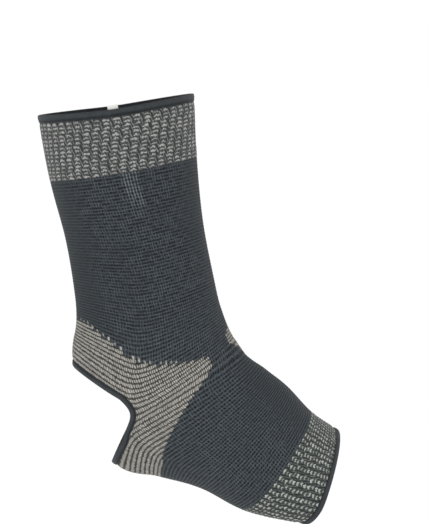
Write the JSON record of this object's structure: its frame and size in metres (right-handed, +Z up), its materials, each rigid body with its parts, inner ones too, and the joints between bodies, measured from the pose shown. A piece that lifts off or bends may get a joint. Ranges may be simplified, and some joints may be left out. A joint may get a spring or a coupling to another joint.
{
  "type": "ankle brace",
  "caption": "Knitted elastic ankle sleeve with an open heel and open toes, bound in folded tape along its edges, in its worn form on a foot that points down.",
  "frame": {"origin": "middle of the ankle, inside the sleeve, halfway between its front, back and sides where the leg is narrowest", "axes": "+Z runs up the leg, +X points to the toes, -Y is the outer side of a right foot"},
  "size_m": [0.1678, 0.1038, 0.2909],
  "materials": {
    "knit": "ribbed two-colour knit, dark grey with light grey patterned bands",
    "binding": "woven elastic tape, charcoal",
    "tab": "smooth white woven tape"
  },
  "bodies": {
    "root": {"knit_sleeve": "knit", "top_binding": "binding", "heel_binding": "binding", "toe_binding": "binding", "label_tab": "tab"}
  },
  "joints": []
}
